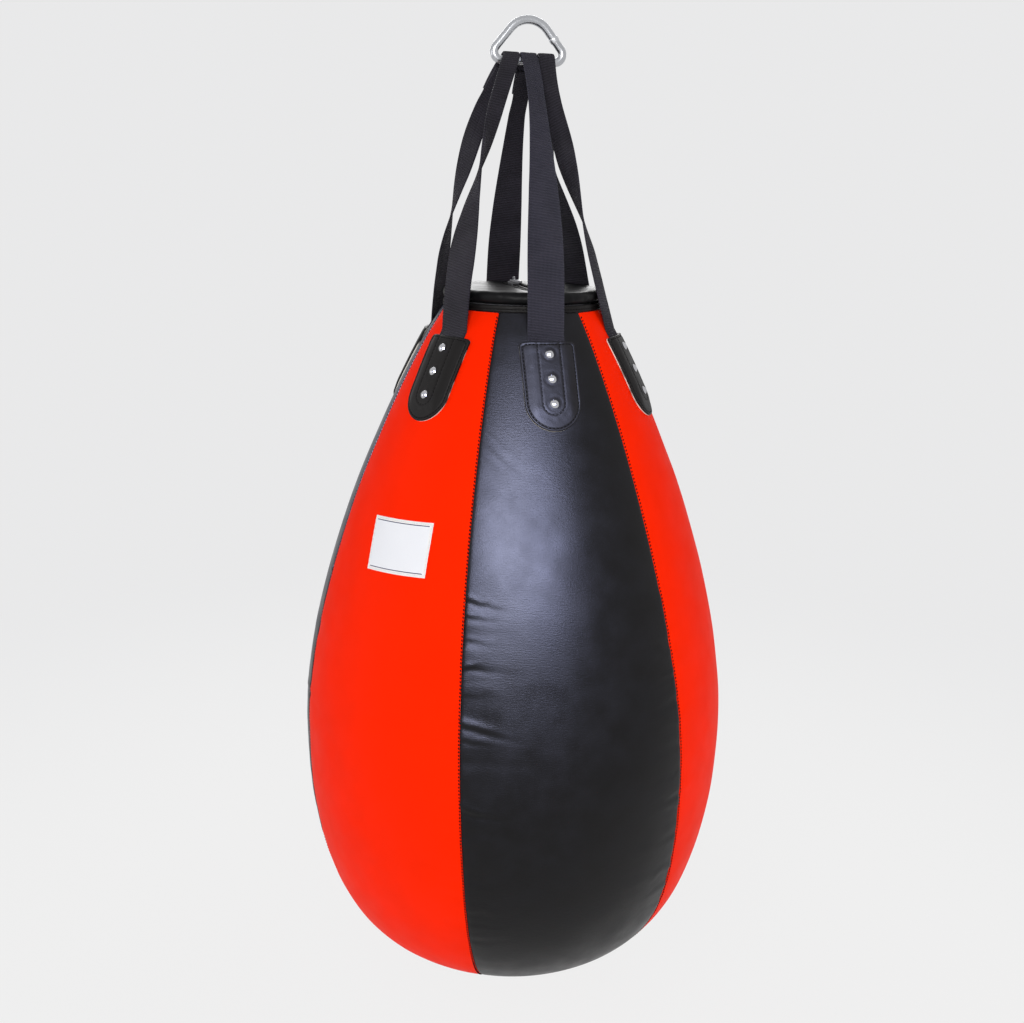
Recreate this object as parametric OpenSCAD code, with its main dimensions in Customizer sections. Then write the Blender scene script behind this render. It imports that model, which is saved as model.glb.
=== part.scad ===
// Teardrop heavy bag on six webbing straps. Millimetres, Z up.
// The origin is the place inside the hanging ring where a hook bears.

/* [Bag body] */
// widest diameter of the filled bag
bag_d = 566; // [440:1:640]
// height of the panels from the bottom to the mouth
body_h = 878; // [760:1:1000]
// height of the widest place above the bottom
belly_h = 318; // [270:1:400]
// diameter of the mouth at the top of the panels
mouth_d = 199; // [170:1:240]
// diameter of the opening that the bottom patch closes
bottom_d = 190; // [150:1:260]
// lean of the neck where it reaches the mouth, in degrees from upright
neck_lean = 36; // [28:0.5:42]
// length of the neck's straight run
neck_len = 82; // [50:1:110]
// thickness of the coated cloth panels
panel_t = 3; // [2:0.1:4]
// thickness of the lining
lining_t = 1.5; // [1:0.1:3]
// clearance between layers of cloth
layer_gap = 0.4; // [0.3:0.05:0.6]
// clearance along a seam between two panels, in degrees
seam_gap = 0.1; // [0.05:0.01:0.2]

/* [Mouth and lid] */
// height of the binding round the mouth
binding_h = 8; // [6:0.5:12]
// height of the lid above the binding
lid_h = 16; // [12:0.5:22]
// thickness of the lid cloth
lid_t = 3; // [2:0.1:4]
// how far the lid edge puffs out beyond the mouth
lid_puff = 1; // [0:0.1:3]

/* [Tabs and rivets] */
// width of a leather tab
tab_w = 67; // [60:1:76]
// length of a leather tab along the panel
tab_l = 108; // [100:1:120]
// thickness of the tab leather
tab_t = 3; // [2:0.1:4]
// distance from the mouth down to the top edge of a tab
tab_drop = 32; // [24:1:36]
// diameter of a rivet head
rivet_d = 10.4; // [8:0.1:12]
// diameter of a rivet shank
shank_d = 5; // [4:0.1:6]
// distance between rivets along the tab
rivet_pitch = 30; // [26:0.5:32]
// distance from the top edge of a tab to its first rivet
rivet_first = 15.5; // [12:0.5:20]

/* [Straps and ring] */
// width of the webbing
strap_w = 45; // [38:1:50]
// thickness of the webbing
strap_t = 2.2; // [1.8:0.1:3]
// width of a strap folded over the ring
fold_w = 20; // [16:0.5:22]
// distance between folded straps on the ring
fold_pitch = 21.5; // [20:0.5:26]
// height of the ring's bar above the mouth
bar_rise = 289; // [240:1:340]
// diameter of the ring's wire
wire_d = 10; // [8:0.5:12]
// height of the ring from its bar to its crown, between wire centres
ring_h = 46; // [40:1:60]

/* [Zip and patch] */
// length of the zip opening in the lid
zip_l = 128; // [100:1:140]
// width of the zip opening
zip_w = 16; // [15:0.5:20]
// how far the slider travels
zip_travel = 96; // [70:1:108]
// width of the blank sewn patch
patch_w = 92; // [70:1:110]
// height of the blank sewn patch
patch_h = 65; // [50:1:80]
// distance from the top edge of a tab down to the middle of the patch
patch_drop = 236; // [200:1:300]

/* [Hidden] */
$fn = 96;
black = [0.09, 0.09, 0.1];
red = [0.9, 0.16, 0.05];
steel = [0.75, 0.76, 0.78];

// outline of the bag: two cubic curves that meet at the widest place
R = bag_d / 2;
mr = mouth_d / 2;
br = bottom_d / 2;
up_r = [R, R, mr + neck_len * sin(neck_lean), mr];
up_z = [belly_h, belly_h + 0.383 * (body_h - belly_h), body_h - neck_len * cos(neck_lean), body_h];
lo_r = [R, R, br + 0.45 * (R - br), br];
lo_z = [belly_h, 0.145 * belly_h, 0, 0];
function bz(p, t) = (1 - t)^3 * p[0] + 3 * (1 - t)^2 * t * p[1] + 3 * (1 - t) * t^2 * p[2] + t^3 * p[3];
function dz(p, t) = 3 * (1 - t)^2 * (p[1] - p[0]) + 6 * (1 - t) * t * (p[2] - p[1]) + 3 * t^2 * (p[3] - p[2]);
// a point pushed out from the curve, r then z; way is 1 going up and -1 going down
function pushed(p, q, t, off, way) =
  let (a = dz(p, t) * way, b = dz(q, t) * way, n = sqrt(a * a + b * b))
  [bz(p, t) + off * b / n, bz(q, t) - off * a / n];
function lower(off) = [for (k = [14:-1:1]) pushed(lo_r, lo_z, k / 14, off, -1)];
function upper(off, first = 0, last = 1, n = 24) =
  [for (k = [0:n]) pushed(up_r, up_z, first + (last - first) * k / n, off, 1)];
function skin(off) = concat(lower(off), upper(off));
function back(v) = [for (k = [len(v) - 1:-1:0]) v[k]];
// place on the upper curve at a height
function t_at(z, a = 0, b = 1, n = 26) =
  n == 0 ? (a + b) / 2 :
  let (m = (a + b) / 2) bz(up_z, m) < z ? t_at(z, m, b, n - 1) : t_at(z, a, m, n - 1);
function r_at(z) = bz(up_r, t_at(z));
function lean_at(z) = atan2(-dz(up_r, t_at(z)), dz(up_z, t_at(z)));

// heights above the bottom
bar_z = body_h + bar_rise;
wire_r = wire_d / 2;
eye_z = bar_z + ring_h - wire_r;
lid_z = body_h + layer_gap + binding_h + layer_gap;
lid_top = lid_z + lid_h;
// inside radius of the lid's puffed edge
lid_in = mr + lid_puff - lid_h / 2 - 5;
tab_top = body_h - tab_drop;
tab_lean = lean_at(tab_top - tab_l * 0.42);
tab_mid = tab_top - tab_l / 2 * cos(tab_lean);
function rivet_z(k) = tab_top - (rivet_first + k * rivet_pitch) * cos(tab_lean);
tail_l = rivet_first + 2 * rivet_pitch + 14;
tail_z = tab_top - tail_l * cos(tab_lean);
// height at which a strap leaves the bag, above its tab
strap_rise = 8;
leave_z = tab_top + strap_rise;

// layers outward from the panel face
strap_in = layer_gap;
strap_out = strap_in + strap_t;
tab_in = strap_out + layer_gap;
tab_out = tab_in + tab_t;
// layers inward from the panel face
lining_in = panel_t + layer_gap;
lining_out = lining_in + lining_t;
back_in = lining_out + layer_gap;
back_t = 2.5;
washer_in = back_in + back_t + layer_gap;
washer_t = 1.2;
tail_end = washer_in + washer_t + 1.4;
fill_in = lining_out + layer_gap;
fill_neck = tail_end + 1;

module hung() {
  translate([0, 0, -eye_z]) children();
}
// a copy for gore i, counted from the front towards +X
module gore(i) {
  rotate([0, 0, 60 * i]) children();
}
// local frame on the front gore: X along the panel, Y up the slope, Z outward
module on_front(z, off = 0) {
  translate([0, -r_at(z), z]) rotate([90 - lean_at(z), 0, 0]) translate([0, 0, off]) children();
}
// part of a layer round the front of the neck
module layer(a, b, z0, z1, half) {
  rotate([0, 0, -90 - half]) rotate_extrude(angle = 2 * half)
    polygon(concat(upper(a, t_at(z0), t_at(z1), 12), back(upper(b, t_at(z0), t_at(z1), 12))));
}

module panel(i, c) {
  color(c) hung() gore(i) difference() {
    rotate([0, 0, -120 + seam_gap / 2]) rotate_extrude(angle = 60 - seam_gap)
      polygon(concat(skin(0), back(skin(-panel_t))));
    for (k = [0:2]) on_front(rivet_z(k), -20) cylinder(d = shank_d + 0.5, h = 40);
  }
}

module lining() {
  color([0.85, 0.83, 0.78]) hung() difference() {
    rotate_extrude() polygon(concat(skin(-lining_in), back(skin(-lining_out))));
    for (i = [0:5]) gore(i)
      for (k = [0:2]) on_front(rivet_z(k), -20) cylinder(d = shank_d + 0.5, h = 40);
  }
}

module fill() {
  step_z = tab_top - tab_l - 12;
  neck = upper(-fill_neck, t_at(step_z), 1, 12);
  lid_r = lid_in - layer_gap;
  color([0.6, 0.6, 0.62]) hung() rotate_extrude() polygon(concat(
    [[0, 0.3], [br - 0.5, 0.3], [br - 0.5, fill_in]],
    lower(-fill_in), upper(-fill_in, 0, t_at(step_z), 16), neck,
    [[lid_r, body_h], [lid_r, lid_top - lid_t - 2.2], [0, lid_top - lid_t - 2.2]]));
}

module rim_binding() {
  z0 = body_h + layer_gap;
  color(black) hung() rotate_extrude()
    polygon([[mr - 5, z0], [mr - 0.6, z0], [mr + 0.2, z0 + 1], [mr + 0.2, z0 + binding_h - 1],
      [mr - 0.6, z0 + binding_h], [mr - 5, z0 + binding_h]]);
}

module top_lid() {
  puff_r = lid_h / 2;
  cr = mr + lid_puff - puff_r;
  color(black) hung() difference() {
    rotate_extrude() polygon(concat([[0, lid_top - lid_t], [lid_in, lid_top - lid_t], [lid_in, lid_z]],
      [for (a = [-90:10:90]) [cr + puff_r * cos(a), lid_z + puff_r + puff_r * sin(a)]], [[0, lid_top]]));
    translate([0, 0, lid_top - lid_t - 1]) linear_extrude(lid_t + 2) {
      square([zip_w, zip_l - zip_w], center = true);
      for (s = [-1, 1]) translate([0, s * (zip_l - zip_w) / 2]) circle(d = zip_w);
    }
  }
}

module bottom_patch() {
  color(black) hung() rotate_extrude()
    polygon([[0, -3.4], [br + 8, -3.4], [br + 9.5, -2.6], [br + 10, -1.5], [br + 10, -0.4], [0, -0.4]]);
}

module tab_shape() {
  h = tab_l / 2;
  translate([-tab_w / 2, -h + tab_w / 2]) square([tab_w, tab_l - tab_w / 2]);
  translate([0, -h + tab_w / 2]) circle(d = tab_w);
}
module tab(i) {
  z0 = tab_top - tab_l - 8;
  z1 = body_h - 6;
  color(black) hung() gore(i) difference() {
    intersection() {
      layer(layer_gap, tab_out, z0, z1, 26);
      on_front(tab_mid, -20) linear_extrude(50) tab_shape();
    }
    intersection() {
      layer(-2, tab_in, z0 - 4, z1 + 3, 27);
      on_front(tab_mid, -25)
        translate([-strap_w / 2 - layer_gap, tab_l / 2 - tail_l - 1, 0])
          cube([strap_w + 2 * layer_gap, 200, 60]);
    }
    for (k = [0:2]) on_front(rivet_z(k), -20) cylinder(d = shank_d + 0.5, h = 40);
  }
}

module rivets() {
  a = rivet_d / 2;
  h = rivet_d / 4;
  ball = (a * a + h * h) / (2 * h);
  seat = tab_out + 0.35;
  color(steel) hung() for (i = [0:5]) gore(i)
    for (k = [0:2]) on_front(rivet_z(k)) {
      translate([0, 0, -tail_end]) cylinder(d = shank_d, h = tail_end + seat + 1);
      translate([0, 0, -tail_end]) cylinder(d = shank_d + 2.5, h = 1.2);
      intersection() {
        translate([0, 0, seat + h - ball]) sphere(r = ball);
        translate([0, 0, seat]) cylinder(r = a + 1, h = 2 * h);
      }
    }
}
module rivet_washers() {
  color(steel) hung() for (i = [0:5]) gore(i)
    for (k = [0:2]) on_front(rivet_z(k), -washer_in - washer_t) difference() {
      cylinder(d = 13, h = washer_t);
      translate([0, 0, -1]) cylinder(d = shank_d + 0.5, h = washer_t + 2);
    }
}
module backing_patches() {
  z0 = tab_top - tab_l - 8;
  color([0.35, 0.3, 0.25]) hung() for (i = [0:5]) gore(i) difference() {
    intersection() {
      layer(-back_in - back_t, -back_in, z0, body_h - 4, 26);
      on_front(tab_mid, -40) translate([-28, -tab_l / 2 + 10, 0]) cube([56, tab_l - 14, 60]);
    }
    for (k = [0:2]) on_front(rivet_z(k), -30) cylinder(d = shank_d + 0.5, h = 50);
  }
}

// a strap's middle line: up the panel under its tab, then free to the ring's bar;
// the cut end is sealed, which draws it in a little
crown_r = wire_r + layer_gap + strap_t;
// the pair at the right hangs straighter than the others, so it leaves the bar lower
crown_a = [40, 70, 70, 40, 40, 40];
lean_in = [0.06, 0.3, 0.3, 0.06, 0.06, 0.06];
splay = [0, 0, 0, 0, 0.36, 0.36];
reach = [0.39, 0.48, 0.48, 0.39, 0.39, 0.39];
dir = [for (i = [0:5]) [cos(60 * i - 90), sin(60 * i - 90), 0]];
bar_x = [0, 1, 1, 0, -1, -1];
side = [-1, -1, 1, 1, 1, -1];
turn0 = [0, 60, 120, 180, 240, 300];
turn1 = [0, 180, 0, 180, 360, 180];
leave = pushed(up_r, up_z, t_at(leave_z), layer_gap + strap_t / 2, 1);
function unit(v) = v / norm(v);
function mix3(p, t) = (1 - t)^3 * p[0] + 3 * (1 - t)^2 * t * p[1] + 3 * (1 - t) * t^2 * p[2] + t^3 * p[3];
function ease(x) = let (c = max(0, min(1, x))) c * c * (3 - 2 * c);
function at_bar(i) =
  [bar_x[i] * fold_pitch, side[i] * crown_r * sin(crown_a[i]), bar_z + crown_r * cos(crown_a[i])];
function free_line(i) =
  let (p0 = dir[i] * leave[0] + [0, 0, leave[1]], up = bar_z - leave[1],
    p1 = p0 + reach[i] * up * (dir[i] * -lean_in[i] + [0, 0, 1]),
    down = unit([bar_x[i] * splay[i], side[i] * cos(crown_a[i]), -sin(crown_a[i])]),
    p3 = at_bar(i), p2 = p3 + 0.24 * up * down) [p0, p1, p2, p3];
function free_at(i, s) = mix3(free_line(i), s);
function free_way(i, s) = unit(free_at(i, min(1, s + 0.01)) - free_at(i, max(0, s - 0.01)));
function turn_at(i, s) =
  turn0[i] + (turn1[i] - turn0[i]) * ease((s - 0.2) / 0.7) + 5 * sin(180 * s)^2;
function wide_at(s) = strap_w + (fold_w - strap_w) * ease((s - 0.2) / 0.6);
function thick_at(s) = strap_t * (1 + ease((s - 0.3) / 0.5));
// a ring of points across the webbing: middle, way it runs, way across, width, thickness, sag
function across(c, t, w, wide, thick, sag) =
  let (x = unit(w - (w * t) * t), n = cross(x, t))
  concat([for (k = [-5:2:5]) c + x * wide * k / 10 + n * (thick / 2 - sag * k * k / 25)],
    [for (k = [5:-2:-5]) c + x * wide * k / 10 - n * (thick / 2 + sag * k * k / 25)]);
function sag_at(z) = strap_w * strap_w / 8 * cos(lean_at(z)) / r_at(z);
function tail_rings(i) = [for (k = [0:9])
  let (z = tail_z + (leave_z - tail_z) * k / 10,
    p = pushed(up_r, up_z, t_at(z), layer_gap + strap_t / 2, 1),
    g = lean_at(z), way = [-sin(g) * dir[i][0], -sin(g) * dir[i][1], cos(g)])
  across(dir[i] * p[0] + [0, 0, p[1]], way, cross([0, 0, 1], dir[i]),
    strap_w - 0.8 * (1 - k / 10)^2, strap_t, sag_at(z))];
function free_ring(i, s, c) =
  let (a = turn_at(i, s), w = [cos(a), sin(a), 0])
  across(c, free_way(i, s), w, wide_at(s), thick_at(s), sag_at(tab_top) * (1 - ease(s / 0.3)));
lap_s = 0.8;
// the back straps end under the lap of the front straps, so they sit one thickness lower there
function tucked(i, s) =
  let (w = [cos(turn_at(i, s)), sin(turn_at(i, s)), 0], t = free_way(i, s),
    n = cross(unit(w - (w * t) * t), t),
    out = n[2] > 0 ? n : -n)
  free_at(i, s) - out * (2 * strap_t + layer_gap) * ease((s - lap_s + 0.1) / 0.09);
function front_rings(i) = concat(tail_rings(i), [for (k = [0:20]) free_ring(i, k / 20, free_at(i, k / 20))],
  [for (k = [1:9]) let (a = crown_a[i] * (k / 5 - 1))
    across([bar_x[i] * fold_pitch, crown_r * sin(a), bar_z + crown_r * cos(a)], [0, cos(a), -sin(a)],
      [cos(turn1[i]), 0, 0], fold_w, 2 * strap_t, 0)],
  [for (k = [0:4]) let (j = 3 - i > 0 ? 3 - i : 9 - i, s = 1 - (1 - lap_s) * k / 4, a = turn_at(j, s))
    across(free_at(j, s), -free_way(j, s), -[cos(a), sin(a), 0], fold_w, 2 * strap_t, 0)]);
function back_rings(i) = concat(tail_rings(i),
  [for (k = [0:22]) let (s = 0.92 * k / 22) free_ring(i, s, tucked(i, s))]);
// an end face, as a strip of triangles from one edge of the webbing to the other
function cap(v) = [for (k = [0:4]) each [[v[k], v[k + 1], v[10 - k]], [v[k], v[10 - k], v[11 - k]]]];
module webbing(rings) {
  n = len(rings);
  m = 12;
  polyhedron(points = [for (v = rings) for (p = v) p], convexity = 8, faces = concat(
    cap([for (k = [0:m - 1]) k]), cap([for (k = [0:m - 1]) (n - 1) * m + (m + 5 - k) % m]),
    [for (j = [0:n - 2]) for (k = [0:m - 1])
      let (a = j * m + k, b = j * m + (k + 1) % m) each [[a, a + m, b], [b, a + m, b + m]]]));
}
module strap(i) {
  color([0.16, 0.16, 0.17]) hung() difference() {
    webbing(side[i] < 0 ? front_rings(i) : back_rings(i));
    gore(i) for (k = [0:2]) on_front(rivet_z(k), -20) cylinder(d = shank_d + 0.5, h = 40);
  }
}

// ring bent from round wire: a straight bar, two corners, two legs and a crown
bar_half = fold_pitch + fold_w / 2 + 1.5;
corner_r = wire_d * 0.9;
leg_a = 50;
foot_x = bar_half + corner_r / tan(leg_a / 2);
tip_z = foot_x * tan(leg_a);
top_r = (tip_z - ring_h) / (1 / cos(leg_a) - 1);
// the bends swell a hair, so that the ends of the straights lie inside them
swell = 0.03;
into = 0.4;
module arc(r, from, angle) {
  rotate([90, 0, 0]) rotate([0, 0, from]) rotate_extrude(angle = angle)
    translate([r, 0]) circle(r = wire_r + swell);
}
module hanging_ring() {
  leg_l = foot_x / cos(leg_a) - corner_r / tan(leg_a / 2) - top_r * tan(leg_a);
  color(steel) hung() translate([0, 0, bar_z]) {
    rotate([0, 90, 0]) cylinder(r = wire_r, h = 2 * (bar_half + into), center = true);
    for (s = [0, 1]) mirror([s, 0, 0]) {
      translate([bar_half, 0, corner_r]) arc(corner_r, -90, 180 - leg_a);
      translate([foot_x - corner_r / tan(leg_a / 2) * cos(leg_a), 0, corner_r / tan(leg_a / 2) * sin(leg_a)])
        rotate([0, leg_a - 90, 0]) translate([0, 0, -into]) cylinder(r = wire_r, h = leg_l + 2 * into);
    }
    translate([0, 0, ring_h - top_r]) arc(top_r, 90 - leg_a, 2 * leg_a);
  }
}

module blank_patch() {
  z = tab_top - patch_drop;
  color([0.94, 0.94, 0.93]) hung() rotate([0, 0, -53]) intersection() {
    layer(layer_gap, layer_gap + 0.9, z - patch_h, z + patch_h, 30);
    on_front(z, -20) rotate([0, 0, 5]) linear_extrude(40) square([patch_w, patch_h], center = true);
  }
}

tape_top = lid_top - lid_t - layer_gap;
chain_w = 6.4;
chain_h = 2.2;
slider_z = tape_top + layer_gap;
slider_top = slider_z + 5;
slider_y = zip_travel / 2;
arch_r = 4;
arch_z = slider_top + 1.6;
tape_w = zip_w + 14;
tape_l = zip_l + 16;
tape_t = 1;
module zip_tape() {
  color(black) hung() translate([-tape_w / 2, -tape_l / 2, tape_top - tape_t]) cube([tape_w, tape_l, tape_t]);
}
module zip_teeth() {
  n = floor((zip_l - 12) / 3.2);
  color([0.2, 0.2, 0.21]) hung() translate([0, 0, tape_top]) difference() {
    translate([-chain_w / 2, -(zip_l - 12) / 2, 0]) cube([chain_w, zip_l - 12, chain_h]);
    for (k = [0:n - 1]) translate([k % 2 == 0 ? -chain_w : 0, -(zip_l - 12) / 2 + 1.6 + 3.2 * k, 0.8])
      cube([chain_w, 1.2, chain_h]);
  }
}
module zip_stops() {
  color(steel) hung() for (s = [-1, 1])
    translate([-4, s * (zip_l / 2 - 3.5) - 1.5, tape_top]) cube([8, 3, 3]);
}
module zip_slider() {
  color(steel) hung() translate([0, slider_y, 0]) {
    difference() {
      translate([0, 0, slider_z]) linear_extrude(slider_top - slider_z)
        polygon([[-4.7, -10], [4.7, -10], [6, 2], [6, 8], [4, 10], [-4, 10], [-6, 8], [-6, 2]]);
      translate([-chain_w / 2 - 0.5, -20, slider_z - 1]) cube([chain_w + 1, 40, chain_h + 1.2]);
    }
    for (s = [-1, 1]) translate([0, s * arch_r, slider_top - 0.5])
      cylinder(r = 1.1, h = arch_z - slider_top + 0.8);
    translate([0, 0, arch_z]) rotate([90, 0, 90]) rotate_extrude(angle = 180)
      translate([arch_r, 0]) circle(r = 1.13);
  }
}
module zip_pull() {
  color(steel) hung() translate([0, slider_y, arch_z]) {
    rotate([0, 90, 0]) cylinder(r = 1, h = 10, center = true);
    difference() {
      translate([0, 0, -1]) linear_extrude(2)
        polygon([[-5, 0], [5, 0], [5, -10], [4, -28], [2.5, -30], [-2.5, -30], [-4, -28], [-5, -10]]);
      translate([-2.4, -5.8, -2]) cube([4.8, 8, 4]);
      translate([0, -25, -2]) cylinder(r = 1.6, h = 4);
    }
    translate([-2.6, 0, 0]) rotate([0, 90, 0]) cylinder(r = 1, h = 5.2);
  }
}

panel(0, black);  // panel_front_black
panel(1, red);  // panel_front_right_red
panel(2, black);  // panel_back_right_black
panel(3, red);  // panel_back_red
panel(4, black);  // panel_back_left_black
panel(5, red);  // panel_front_left_red
top_lid();
rim_binding();
bottom_patch();
lining();
fill();
tab(0);  // tab_front
tab(1);  // tab_front_right
tab(2);  // tab_back_right
tab(3);  // tab_back
tab(4);  // tab_back_left
tab(5);  // tab_front_left
strap(0);  // strap_front
strap(1);  // strap_front_right
strap(2);  // strap_back_right
strap(3);  // strap_back
strap(4);  // strap_back_left
strap(5);  // strap_front_left
rivets();
rivet_washers();
backing_patches();
hanging_ring();
blank_patch();
zip_tape();
zip_teeth();
zip_stops();
zip_slider();
zip_pull();
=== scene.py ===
# %% [markdown]
# # A teardrop heavy bag, dressed for the camera
# The real bag is six long gores of coated cloth, sewn edge to edge and packed with rags until they
# are drum tight. Leather tabs and rivets hold webbing straps at the neck, and the straps hang on a
# steel ring. The solids from the CAD step fix where all of this is. Here the soft pieces are
# made again with the seams, stitches and puckers that solids lack, and the metal gets its finish.

# %% Load the frame
import math

import bpy
import numpy as np
from mathutils import Matrix, Vector


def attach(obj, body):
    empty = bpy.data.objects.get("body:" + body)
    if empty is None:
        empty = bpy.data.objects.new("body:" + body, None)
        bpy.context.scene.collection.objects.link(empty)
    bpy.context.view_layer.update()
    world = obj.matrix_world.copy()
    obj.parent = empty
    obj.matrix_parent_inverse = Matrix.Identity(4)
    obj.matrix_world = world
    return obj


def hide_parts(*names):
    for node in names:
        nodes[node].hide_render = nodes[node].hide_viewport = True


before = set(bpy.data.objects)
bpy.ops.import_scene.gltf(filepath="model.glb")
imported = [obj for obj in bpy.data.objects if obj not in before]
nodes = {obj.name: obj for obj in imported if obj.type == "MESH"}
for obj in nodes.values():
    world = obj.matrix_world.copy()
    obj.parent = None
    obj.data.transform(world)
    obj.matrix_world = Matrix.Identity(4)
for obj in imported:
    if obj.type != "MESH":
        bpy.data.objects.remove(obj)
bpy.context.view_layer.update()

# %% [markdown]
# ## The outline
# A packed bag is round, so one outline turned about the axis gives nearly all of its shape. It is two
# cubic curves that meet at the belly, with the same control points as the solids. Walking
# along it by length, not by height, keeps the mesh even where the bottom curls under.

# %% The bag's outline, in millimetres
BELLY, RIM, MOUTH_R, BELLY_R, BOTTOM_R = 318.0, 878.0, 99.5, 283.0, 95.0
TAB_TOP, LID_Z, BAR_Z = RIM - 32, RIM + 8.8, RIM + 289
LID_TOP, EYE = LID_Z + 16, BAR_Z + 41
lean = math.radians(36)
up_r = (BELLY_R, BELLY_R, MOUTH_R + 82 * math.sin(lean), MOUTH_R)
up_z = (BELLY, BELLY + 0.383 * (RIM - BELLY), RIM - 82 * math.cos(lean), RIM)
low_r = (BELLY_R, BELLY_R, BOTTOM_R + 0.45 * (BELLY_R - BOTTOM_R), BOTTOM_R)
low_z = (BELLY, 0.145 * BELLY, 0.0, 0.0)


def cubic(p, t):
    return (1 - t) ** 3 * p[0] + 3 * (1 - t) ** 2 * t * p[1] + 3 * (1 - t) * t * t * p[2] + t ** 3 * p[3]


t = np.linspace(0, 1, 1500)
out_r = np.r_[cubic(low_r, t[::-1]), cubic(up_r, t[1:])]
out_z = np.r_[cubic(low_z, t[::-1]), cubic(up_z, t[1:])]
run = np.r_[0, np.cumsum(np.hypot(np.diff(out_r), np.diff(out_z)))]
slope_r, slope_z = np.gradient(out_r, run), np.gradient(out_z, run)
LENGTH = run[-1]


def outline(s):
    """radius, height, and the outward direction's two parts, at length s from the bottom edge"""
    n_r, n_z = np.interp(s, run, slope_z), -np.interp(s, run, slope_r)
    size = np.hypot(n_r, n_z)
    return np.interp(s, run, out_r), np.interp(s, run, out_z), n_r / size, n_z / size


def length_at(z):
    """length along the outline at a height on the upper part"""
    k = len(t) - 1
    return np.interp(z, out_z[k:], run[k:])


def on_bag(angle, s, off):
    """points off mm outside the outline; angle in degrees from the front, towards +X"""
    r, z, n_r, n_z = outline(s)
    a = np.radians(angle)
    rr = r + off * n_r
    return np.stack([rr * np.sin(a), -rr * np.cos(a), z + off * n_z - EYE], -1) / 1000


print("outline length", round(float(LENGTH), 1), "mm")

# %% [markdown]
# ## Small tools
# Every soft piece here is a grid of points, so one helper turns a grid into a mesh with a map of
# millimetres as its UV. Noise comes from a seeded table, so each run gives the same puckers.

# %% Noise, grids and dressing
table = np.random.default_rng(7).uniform(-1, 1, (256, 256))


def smooth(x):
    x = np.clip(x, 0, 1)
    return x * x * (3 - 2 * x)


def noise(x, y, seed=0):
    """soft lumps of size 1 between -1 and 1"""
    x, y = np.asarray(x) + 31.7 * seed, np.asarray(y) + 17.3 * seed
    i, j = np.floor(x).astype(int), np.floor(y).astype(int)
    u, v = smooth(x - i), smooth(y - j)
    at = lambda a, b: table[a % 256, b % 256]
    return ((at(i, j) * (1 - u) + at(i + 1, j) * u) * (1 - v)
            + (at(i, j + 1) * (1 - u) + at(i + 1, j + 1) * u) * v)


def mesh_piece(name, verts, faces, uv=None):
    """a smooth mesh object from points in metres, with uv as its map"""
    me = bpy.data.meshes.new(name)
    me.from_pydata(np.asarray(verts).reshape(-1, 3).tolist(), [], [list(map(int, f)) for f in faces])
    if uv is not None:
        flat = np.asarray(uv, dtype=np.float32).reshape(-1, 2)
        index = np.empty(len(me.loops), dtype=np.int32)
        me.loops.foreach_get("vertex_index", index)
        me.uv_layers.new(name="mm").data.foreach_set("uv", flat[index].ravel())
    me.polygons.foreach_set("use_smooth", [True] * len(me.polygons))
    ob = bpy.data.objects.new(name, me)
    bpy.context.scene.collection.objects.link(ob)
    return ob


def grid_faces(rows, cols, wrap=False, flip=False, start=0):
    """quads of a grid of points; wrap closes each row to a ring"""
    j = np.arange(rows - 1)[:, None]
    k = np.arange(cols if wrap else cols - 1)[None, :]
    n = (k + 1) % cols
    quad = np.stack([j * cols + k, j * cols + n, (j + 1) * cols + n, (j + 1) * cols + k], -1).reshape(-1, 4)
    return (quad[:, ::-1] if flip else quad) + start


def dress(piece, finishes, body, slot, *replaced):
    """one piece gets its finishes, the body it rides on and the solids it stands for"""
    for finish in finishes:
        piece.data.materials.append(finish)
    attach(piece, body)
    if replaced:
        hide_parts(*replaced)
    return piece


print("noise table", table.shape)

# %% Rows of stitches
def stitches(name, path, normal, pitch, fill=0.72, radius=0.45, sink=0.15, side=None):
    """a row of thread loops along a path; path and normals in metres, the rest in mm"""
    path, normal = np.asarray(path), np.asarray(normal)
    far = np.r_[0, np.cumsum(np.linalg.norm(np.diff(path, axis=0), axis=1))] * 1000
    count = max(2, int(far[-1] / pitch))
    mid = (np.arange(count) + 0.5) * far[-1] / count
    pick = lambda a, s: np.stack([np.interp(s, far, a[:, k]) for k in range(3)], -1)
    half = pitch * fill / 2
    ways = pick(path, mid + half) - pick(path, mid - half)
    ways /= np.linalg.norm(ways, axis=1)[:, None]
    up = pick(normal, mid)
    up -= (up * ways).sum(1)[:, None] * ways
    up /= np.linalg.norm(up, axis=1)[:, None]
    across = np.cross(up, ways)
    if side is not None:
        ways = ways + side * across
        ways /= np.linalg.norm(ways, axis=1)[:, None]
        across = np.cross(up, ways)
    # a loop is five rings of six points, thick in the middle and sunk into the cloth at both ends
    steps, ring = np.array([-1, -0.72, 0, 0.72, 1.0]), np.arange(6) * math.pi / 3
    girth, dip = np.array([0.35, 0.85, 1, 0.85, 0.35]), np.array([-1.1, -0.25, 0.25, -0.25, -1.1])
    thick = radius * girth[:, None]
    along = np.broadcast_to(half * steps[:, None], (5, 6))
    rise = np.sin(ring) * thick + (dip * radius - sink + 0.5 * radius)[:, None]
    loop = np.stack([along, np.cos(ring) * thick, rise], -1) / 1000
    frames = np.stack([ways, across, up], 1)
    verts = pick(path, mid)[:, None, None] + np.einsum("abk,nkj->nabj", loop, frames)
    one = grid_faces(5, 6, wrap=True).tolist() + [list(range(5, -1, -1)), list(range(24, 30))]
    faces = [[30 * k + q for q in face] for k in range(count) for face in one]
    return mesh_piece(name, verts, faces)


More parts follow.
